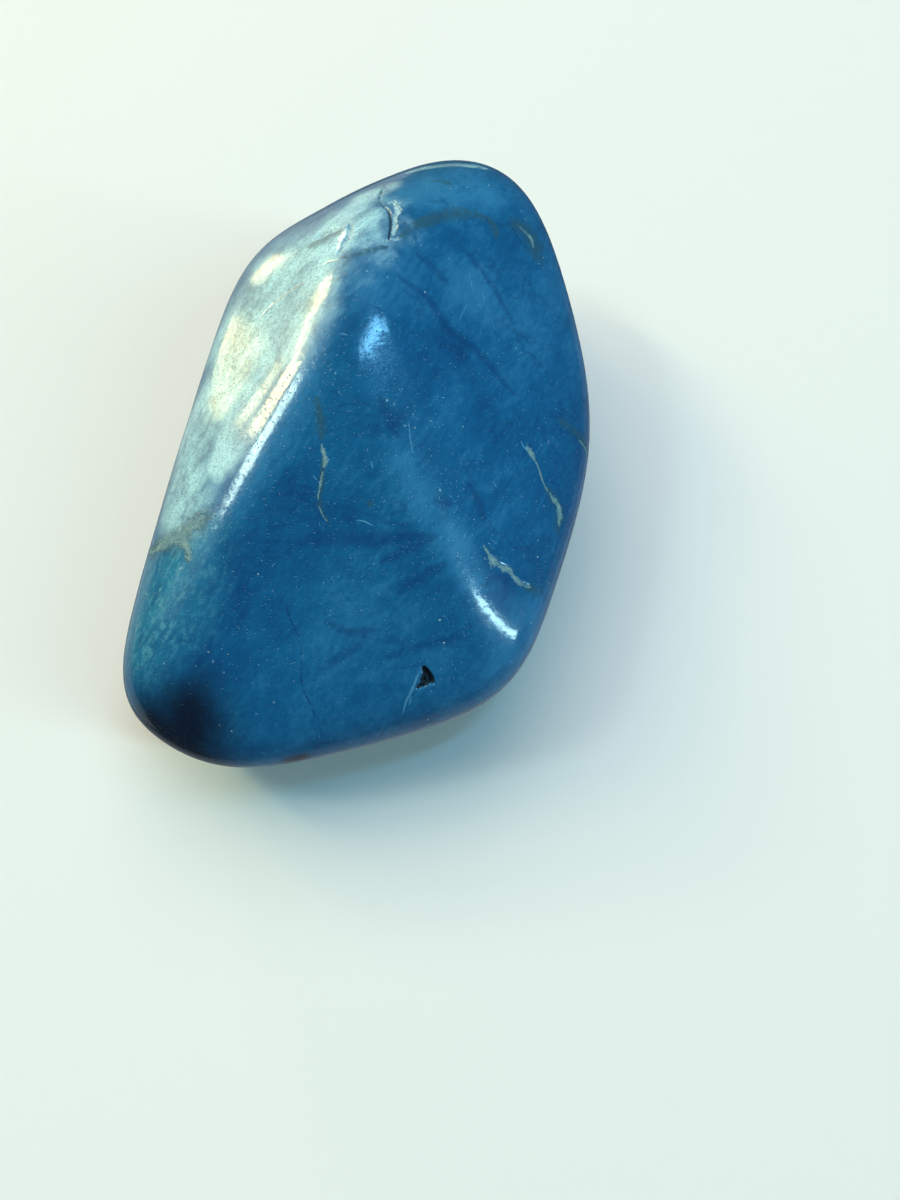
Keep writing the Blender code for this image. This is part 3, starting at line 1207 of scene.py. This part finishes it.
SPECK_PIXELS = {
    "speck_by_the_nose": (204, 617), "speck_on_the_front": (258, 574), "speck_low": (228, 654),
    "speck_low_twin": (208, 652), "speck_by_the_streak": (444, 643), "speck_right": (538, 557),
    "speck_near_corner": (531, 623), "speck_front_edge": (428, 720), "speck_left": (146, 594),
    "speck_left_twin": (181, 568), "speck_high": (425, 292), "speck_crown": (489, 185),
    "speck_crown_twin": (450, 188), "speck_crown_third": (427, 186), "speck_flank": (338, 204),
    "speck_middle": (387, 400), "speck_middle_twin": (440, 490), "speck_front_mid": (440, 620),
}
# Millimetres.
SPECK_RADIUS = 0.08

PANELS = {
    "window_low": Panel(166.5, 1.0, 5, 26, 6.8, (1.0, 0.86, 0.36), -18.0),
    "window_far": Panel(151.5, -5.0, 7, 10, 6.5, (1.0, 0.86, 0.38), -15.0),
    "window_crown": Panel(140, 14.0, 4, 14, 17.0, (1.0, 0.93, 0.60), -40.0),
    "window_ridge": Panel(163.5, 28.5, 8.5, 10.5, 19.0, (1.0, 0.91, 0.40), -45.0),
    "window_gap": Panel(173, 34.0, 2.6, 8, 20.0, (1.0, 0.92, 0.42), -13.0),
    "window_long": Panel(181, 39.5, 5, 13, 28.0, (1.0, 0.92, 0.45), -22.0),
    "window_thin": Panel(175, 25.0, 2.0, 8, 22.0, (1.0, 0.92, 0.45), -16.0),
    "window_top": Panel(194, 50.5, 8, 9, 25.0, (0.72, 1.0, 0.90), -35.0),
    "ridge_sky": Panel(192, 46.0, 34, 30, 0.55, (0.62, 0.92, 1.0), -22.0),
    "low_left_glow": Panel(180, -24.0, 112, 38, 0.42, (0.80, 0.97, 1.0)),
    "low_right_glow": Panel(20, -30.0, 90, 34, 0.17, (0.72, 0.90, 1.0)),
    "under_glow": Panel(0, -90.0, 100, 100, 0.18, (0.78, 0.92, 1.0)),
    "sky_pane": Panel(42.6, 74.1, 3.0, 24, 15.0, (0.20, 0.62, 1.0), 14.0),
    "sky_pane_twin": Panel(42.2, 68.0, 3.0, 25, 15.0, (0.20, 0.62, 1.0), 14.0),
    "near_window": Panel(2.5, 33.0, 4, 46, 25.0, (0.52, 0.93, 1.0), 16.0),
    "near_glow": Panel(6, 34.0, 26, 60, 0.7, (0.20, 0.66, 1.0), 16.0),
    "fill": Panel(125, 58.0, 56, 50, 2.6, (0.98, 0.98, 1.0), 0.0, False),
}


def main() -> None:
    """Build the viewpoint, the pebble and the studio in that order, and log the eye's place and the pebble's
    counts of corners and faces.
    """
    logging.basicConfig(level=logging.INFO, format="%(name)s: %(message)s")
    view = Viewpoint()
    view.build()
    LOG.info("viewpoint: eye at %s", tuple(round(value, 4) for value in view.eye))

    specks = {
        name: SeenLine(Mark.SPECK, SPECK_RADIUS, 1.0, [pixel])
        for name, pixel in SPECK_PIXELS.items()
    }
    pebble = Pebble(WORN_FACES, SWELLS, SEEN_LINES | specks, HIDDEN_LINES, view)
    stone = pebble.build()
    stone.data.materials.append(DyedHowlite().build())
    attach(stone, "root")
    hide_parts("stone")

    Studio(PANELS).build()
    LOG.info("studio: floor, lights and air are in place")


if __name__ == "__main__":
    main()
